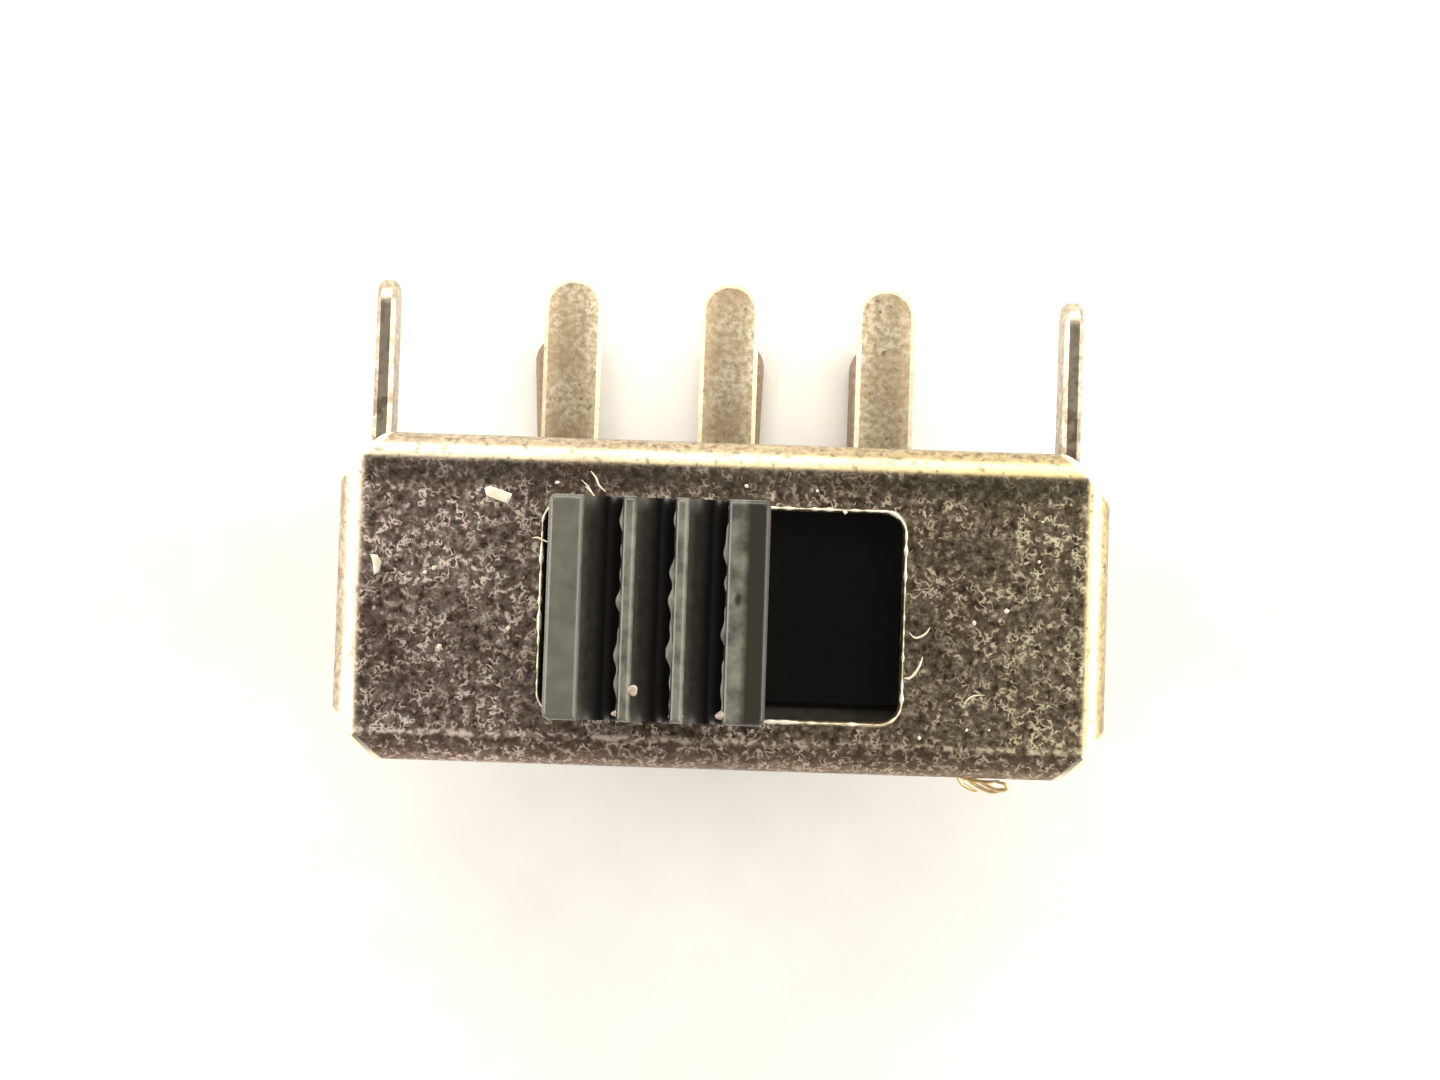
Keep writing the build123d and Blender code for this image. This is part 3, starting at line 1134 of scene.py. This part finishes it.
def grain_blob(centre, radii, seed, rings=14, around=18):
    """A small rounded nib.

    It is a sphere in latitude and longitude, stretched by the three radii, whose radius is
    shaken by two sine waves with seeded phases. Its poles are small closed caps.
    """
    phase = np.random.default_rng(seed).uniform(0, 2 * np.pi, 2)
    pole = np.pi / 2 - 0.05
    latitude = np.linspace(-pole, pole, rings)[:, None]
    longitude = np.linspace(0, 2 * np.pi, around, endpoint=False)[None, :]
    shake = 1 + 0.10 * np.sin(3 * longitude + phase[0]) * np.cos(latitude)
    shake = shake + 0.06 * np.sin(5 * latitude + phase[1])
    unit = np.stack(
        (
            np.cos(latitude) * np.cos(longitude),
            np.cos(latitude) * np.sin(longitude),
            np.sin(latitude) * np.ones_like(longitude),
        ),
        axis=-1,
    )
    points = unit * shake[..., None] * np.asarray(radii) + np.asarray(centre)
    return points.reshape(-1, 3), ring_faces(rings, around)


def join(shapes):
    """Puts several (points, faces) shapes into one."""
    points, faces, offset = [], [], 0
    for shape_points, shape_faces in shapes:
        points.append(shape_points)
        faces += [[index + offset for index in face] for face in shape_faces]
        offset += len(shape_points)
    return np.concatenate(points), faces


def add_piece(name, shapes, material, body):
    """Makes one piece of the shapes, riding on a body."""
    piece = link_mesh(name, *join(shapes), material)
    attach(piece, body)


def lifted_plating(material):
    """Two flakes of plating that have lifted from the front, and a few specks of it."""
    thickness = 0.016
    outlines = [
        [(-4.06, 0.04), (-3.68, -0.10), (-3.62, 0.08), (-4.00, 0.20), (-4.09, 0.16)],
        [(-5.93, -1.17), (-5.91, -1.37), (-5.81, -1.32), (-5.79, -1.14), (-5.86, -1.03), (-5.98, -1.02)],
    ]
    places = [
        (-2.86, 0.30), (-5.05, -1.30), (-4.90, -1.22), (4.82, -1.64), (4.27, -1.85),
        (5.35, -0.78), (5.39, -0.10), (4.58, -3.65), (4.20, -3.66), (3.40, -3.83),
        (2.03, -0.04), (-4.75, -2.55), (-3.60, -2.20), (0.35, 0.35), (1.55, 0.30),
    ]
    flakes = [flake(outline, thickness) for outline in outlines]
    specks = [
        speck(x, y, 0.08 + 0.03 * math.sin(7.0 * seed), 10 + seed)
        for seed, (x, y) in enumerate(places)
    ]
    add_piece("lifted_plating", flakes + specks, material, "housing")


def scraped_lines(material):
    """Fine curled scrapes of tin on the front, each with its radius, by the window and knob."""
    scrapes = [
        (0.024, [(3.42, -2.45), (3.37, -2.60), (3.29, -2.74), (3.20, -2.82), (3.11, -2.82)]),
        (0.020, [(3.53, -1.95), (3.47, -2.04), (3.38, -2.11), (3.27, -2.13), (3.18, -2.05)]),
        (0.018, [(-3.25, -0.66), (-3.16, -0.65), (-3.07, -0.69), (-2.97, -0.72)]),
        (0.013, [(-2.46, 0.36), (-2.34, 0.25), (-2.26, 0.13), (-2.17, 0.04)]),
        (0.017, [(-2.30, 0.51), (-2.21, 0.40), (-2.15, 0.27), (-2.03, 0.16)]),
        (0.011, [(-2.39, 0.25), (-2.31, 0.18), (-2.21, 0.06)]),
        (0.014, [(4.13, -3.25), (4.20, -3.15), (4.31, -3.08), (4.49, -3.06)]),
    ]
    raised = 0.004
    level = FRONT + raised
    strands = [whisker([(x, y, level) for x, y in path], radius, 0.5) for radius, path in scrapes]
    add_piece("scraped_lines", strands, material, "housing")


def window_burr_highlight(material):
    """The burr that the punch left round the window's rim, pale as a painted highlight."""
    outside = 0.035
    half = [side + outside for side in WINDOW_HALF]
    strand = rim_strand(WINDOW_MIDDLE, half, WINDOW_CORNER + outside, radius=0.021, seed=3)
    add_piece("window_burr_highlight", [strand], material, "housing")


def fold_swarf(material):
    """A curl of swarf caught on the lower fold of the shell, near its right end.

    The Y of its points is measured from the lower wall.
    """
    paths = [
        [(4.10, 0.05, 7.50), (4.20, -0.10, 7.42), (4.36, -0.19, 7.36), (4.50, -0.24, 7.34)],
        [(4.12, 0.02, 7.48), (4.34, -0.03, 7.46), (4.60, -0.06, 7.46), (4.86, -0.03, 7.48)],
        [(4.30, 0.05, 7.50), (4.55, -0.08, 7.44), (4.80, -0.19, 7.40), (4.97, -0.17, 7.42),
         (4.93, -0.08, 7.46), (4.78, -0.06, 7.46)],
        [(4.22, 0.02, 7.46), (4.46, -0.13, 7.38), (4.70, -0.23, 7.34), (4.92, -0.22, 7.36)],
    ]
    strands = [
        whisker([(x, LOWER_WALL + y, z) for x, y, z in path], 0.033, flatness=0.7, rings=40)
        for path in paths
    ]
    add_piece("fold_swarf", strands, material, "housing")


def ridge_nibs(material):
    """Nibs at the lower ends of the knob's ridges, a little below its top, pale as a painted highlight.
    """
    nibs = [
        grain_blob((x, y, KNOB_TOP - depth), radii, seed)
        for x, y, depth, radii, seed in (
            (-1.32, -3.03, 0.05, (0.085, 0.085, 0.05), 5),
            (0.06, -3.36, 0.07, (0.13, 0.07, 0.05), 6),
            (-1.50, -3.38, 0.08, (0.12, 0.06, 0.04), 7),
            (-0.67, -3.39, 0.09, (0.11, 0.05, 0.04), 8),
        )
    ]
    add_piece("ridge_nibs", nibs, material, "knob")


def crest_lips(material):
    """Lumpy lips of smeared nylon, pale as a painted highlight, pushed out over each groove from the
    ridge on its right.

    Each is a whisker whose radius is shaken, and kept between a quarter and about twice thick.
    """
    rings = 160
    thick = 0.050
    inset = 0.02
    sunk = 0.055
    middle = sum(RIDGE_ENDS) / 2
    lips = []
    for crest, seed in enumerate((11, 14, 12)):
        x = RIDGE_EDGE + crest * RIDGE_PITCH + inset
        radius = thick * np.clip(0.85 + 0.42 * shaken(rings, [1, 3, 5, 8], seed), 0.25, 2.1)
        path = [(x, y, KNOB_TOP - sunk) for y in (RIDGE_ENDS[0], middle, RIDGE_ENDS[1])]
        lips.append(whisker(path, radius, flatness=0.42, rings=rings, around=10))
    add_piece("crest_lips", lips, material, "knob")


def dress_cad():
    """Gives each CAD node the finish that its record slot names."""
    finish = {
        "plated_steel": tinned_steel(),
        "terminal_metal": tinned_brass(),
        "contact_metal": silvered_bronze(),
        "black_plastic": moulded_nylon(),
        "base_moulding": moulded_phenolic(),
    }
    for part in frame["record"]["subparts"]:
        node = frame["nodes"][part["node"]]
        node.data.materials.clear()
        node.data.materials.append(finish[part["material_slot"]])


def place_floor():
    """A flat white card just under the switch, wide enough to fill every view."""
    half = 400
    gap = 0.005
    level = cad_box[0].z / MM - gap
    corners = [(-half, -half, level), (half, -half, level), (half, half, level), (-half, half, level)]
    link_mesh("floor", corners, [(0, 1, 2, 3)], floor_card(), smooth=False)


def place_camera():
    """Stands the camera at its place, looking at its aim, with the photograph's slight roll."""
    data = bpy.data.cameras.new("camera")
    data.sensor_width = SENSOR
    data.lens = LENS
    data.clip_start = NEAREST * MM
    data.clip_end = FARTHEST * MM
    camera = bpy.data.objects.new("camera", data)
    bpy.context.scene.collection.objects.link(camera)
    back = (Vector(CAMERA_PLACE) - Vector(CAMERA_AIM)).normalized()
    level_side = Vector((0, 1, 0)).cross(back).normalized()
    level_up = back.cross(level_side)
    roll = math.radians(CAMERA_ROLL)
    side = level_side * math.cos(roll) + level_up * math.sin(roll)
    up = level_up * math.cos(roll) - level_side * math.sin(roll)
    turn = Matrix((side, up, back)).transposed().to_4x4()
    camera.matrix_world = Matrix.Translation(Vector(CAMERA_PLACE) * MM) @ turn
    bpy.context.scene.camera = camera


def softbox(name, place, width, height, power, colour):
    """A soft rectangular light at place, in millimetres, that faces the switch."""
    data = bpy.data.lights.new(name, "AREA")
    data.shape = "RECTANGLE"
    data.size = width * MM
    data.size_y = height * MM
    data.energy = power
    data.color = linear(colour)[:3]
    light = bpy.data.objects.new(name, data)
    bpy.context.scene.collection.objects.link(light)
    light.location = Vector(place) * MM
    light.rotation_mode = "QUATERNION"
    light.rotation_quaternion = (-Vector(place)).to_track_quat("-Z", "Y")


def light_scene():
    """Soft light from the far side and both ends, under a sky that is dark overhead."""
    softbox("far_light", (0, 170, 110), 220, 120, 0.38, "#fff8ea")
    softbox("left_light", (-170, 10, 90), 180, 110, 0.38, "#fffaf0")
    softbox("right_light", (170, 10, 90), 180, 110, 0.42, "#fffaf0")
    world = bpy.data.worlds.new("studio")
    world.use_nodes = True
    tree = world.node_tree
    tree.nodes.clear()
    direction = add(tree, "ShaderNodeTexCoord").outputs["Generated"]
    height = add(tree, "ShaderNodeSeparateXYZ", {"Vector": direction}).outputs["Z"]
    sky = add(
        tree,
        "ShaderNodeValToRGB",
        {"Fac": height},
        [(0.0, "#f6f5f3"), (0.55, "#e2e1dd"), (0.80, "#a09e9a"), (0.94, "#5c5b57")],
    )
    glow = add(tree, "ShaderNodeBackground", {"Color": sky, "Strength": 0.68})
    add(tree, "ShaderNodeOutputWorld", {"Surface": glow})
    bpy.context.scene.world = world


def set_tones():
    """Plain tones, as a camera gives them."""
    view = bpy.context.scene.view_settings
    view.view_transform = "Standard"
    view.look = "None"
    view.exposure = 0.0
    view.gamma = 1.0


dress_cad()
tin = bright_tin()
lifted_plating(tin)
scraped_lines(tin)
window_burr_highlight(tin)
fold_swarf(brass_swarf())
ridge_nibs(nib_highlight_nylon())
crest_lips(smeared_highlit_nylon())
place_floor()
place_camera()
light_scene()
set_tones()
